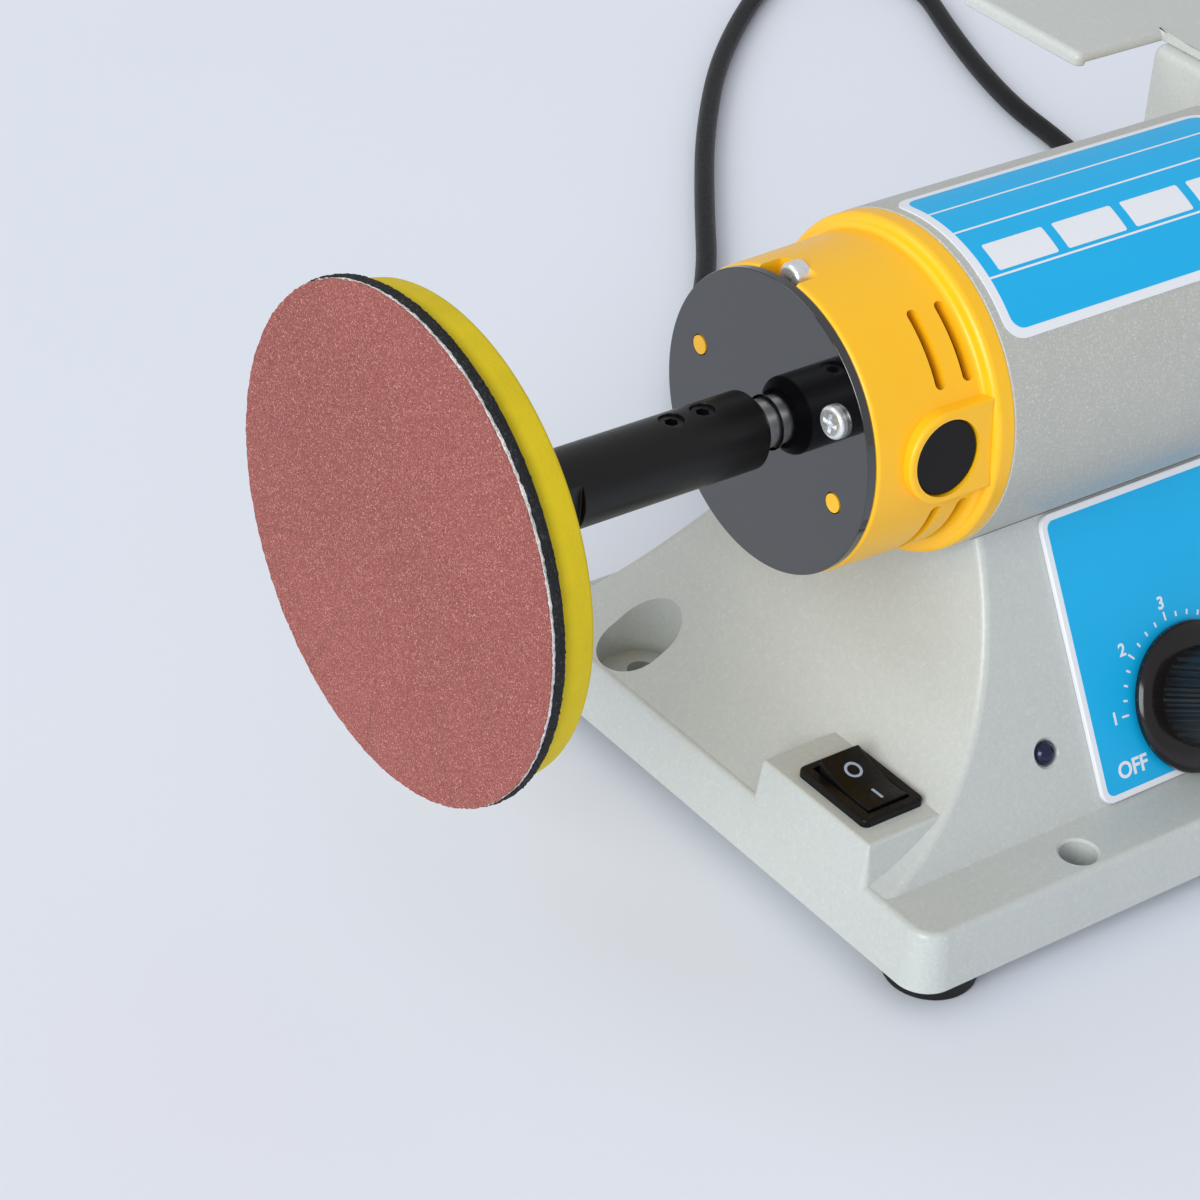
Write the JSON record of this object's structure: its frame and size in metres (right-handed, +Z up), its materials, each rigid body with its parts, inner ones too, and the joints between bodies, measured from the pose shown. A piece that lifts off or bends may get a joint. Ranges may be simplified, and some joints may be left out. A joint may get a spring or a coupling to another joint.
{
  "type": "bench polisher",
  "caption": "Small bench polisher: a motor on a cast base with a speed knob and rocker switch turns a sanding pad on a rod at its left end; a work rest stands at its right.",
  "frame": {"origin": "middle of the base's footprint, on the bench top that its feet stand on", "axes": "+X to the right along the motor shaft, +Y to the back, +Z up; the sanding disc is at -X"},
  "size_m": [0.4038, 0.4074, 0.1489],
  "materials": {
    "cast_paint": "light grey-green paint on a casting",
    "sheet_paint": "the same paint on sheet steel",
    "barrel_paint": "grey hammered paint",
    "black_rubber": "matt",
    "cord_black": "satin",
    "panel_blue": "printed blue face with a pale border",
    "black_plastic": "satin moulded",
    "plate_black": "polished",
    "yellow_plastic": "satin moulded",
    "zinc": "bright zinc plate",
    "ground_steel": "ground",
    "black_steel": "blackened",
    "lamination": "varnished sheet stack",
    "copper": "enamelled copper wire or bare copper",
    "carbon": "carbon",
    "brass_holder": "plain",
    "board_green": "circuit board",
    "aluminium_fin": "extruded",
    "pad_yellow": "moulded foam",
    "hook_fabric": "hook and loop layer",
    "grit": "red-brown abrasive on paper"
  },
  "bodies": {
    "stand": {"base_casting": "cast_paint", "bottom_cover": "sheet_paint", "rubber_feet": "black_rubber", "foot_screws": "zinc", "control_panel": "panel_blue", "face_screws": "black_plastic", "pot_body": "zinc", "pot_nut": "zinc", "switch_housing": "black_plastic", "switch_terminals": "zinc", "control_board": "board_green", "board_standoffs": "zinc", "heat_sink": "aluminium_fin", "motor_barrel": "barrel_paint", "motor_label": "panel_blue", "saddle_screws": "zinc", "stator_core": "lamination", "field_coils": "copper", "left_end_cap": "yellow_plastic", "right_end_cap": "yellow_plastic", "left_end_plate": "plate_black", "right_end_plate": "plate_black", "plate_screws": "zinc", "through_bolts": "zinc", "brush_caps": "black_plastic", "brush_holders": "brass_holder", "carbon_brushes": "carbon", "brush_springs": "zinc", "bearing_outer_rings": "ground_steel", "rest_bracket": "sheet_paint", "rest_table": "sheet_paint", "rest_bolts": "zinc", "strain_relief": "black_rubber", "cord_run": "cord_black", "cord_coil": "cord_black", "cord_tail": "cord_black", "coil_tie": "black_plastic", "plug_body": "black_rubber", "plug_pins": "zinc"},
    "spindle": {"motor_shaft": "ground_steel", "bearing_inner_rings": "ground_steel", "armature_core": "lamination", "armature_winding": "copper", "commutator": "copper", "cooling_fan": "black_plastic", "adaptor_rod": "black_steel", "set_screws": "black_steel", "pad_insert": "zinc", "backing_pad": "pad_yellow", "hook_layer": "hook_fabric", "sanding_disc": "grit"},
    "knob": {"speed_knob": "black_plastic", "pot_shaft": "aluminium_fin"},
    "rocker": {"switch_rocker": "black_plastic"}
  },
  "joints": [
    {"name": "spindle_spin", "type": "hinge", "parent": "stand", "child": "spindle", "pos_m": [0, 0, 0.0985], "axis": [1, 0, 0], "continuous": true},
    {"name": "speed_turn", "type": "hinge", "parent": "stand", "child": "knob", "pos_m": [0.0015, -0.0467, 0.03162], "axis": [0, 0.866, -0.5], "range_deg": [0, 280]},
    {"name": "switch_rock", "type": "hinge", "parent": "stand", "child": "rocker", "pos_m": [-0.0745, -0.0326, 0.0283], "axis": [-1, 0, 0], "range_deg": [0, 18]}
  ]
}
